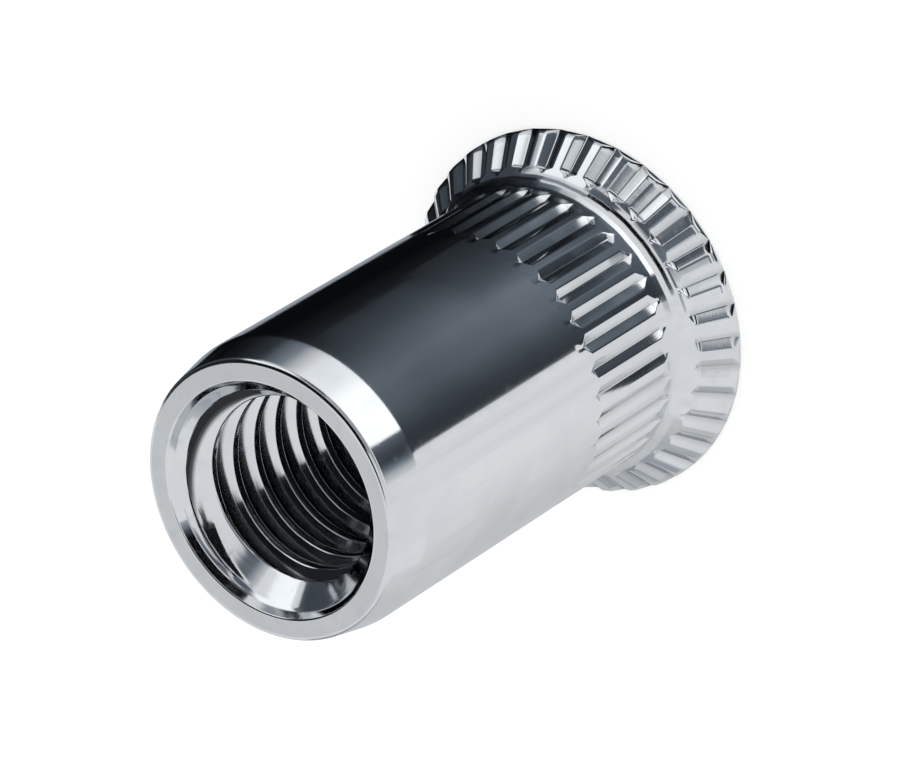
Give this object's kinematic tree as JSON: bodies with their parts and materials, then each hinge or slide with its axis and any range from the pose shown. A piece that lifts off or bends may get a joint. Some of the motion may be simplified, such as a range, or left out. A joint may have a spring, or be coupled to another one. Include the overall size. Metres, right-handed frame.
{
  "type": "rivet nut",
  "caption": "Blind rivet nut: knurled round shank, serrated countersunk head and a threaded through bore.",
  "frame": {"origin": "centre of the head's flat outer face", "axes": "+Z along the nut's axis, from the head's outer face to the threaded end"},
  "size_m": [0.014, 0.014, 0.019],
  "materials": {
    "zinc_steel": "bright zinc-plated steel, smooth"
  },
  "bodies": {
    "root": {"rivet_nut": "zinc_steel"}
  },
  "joints": []
}
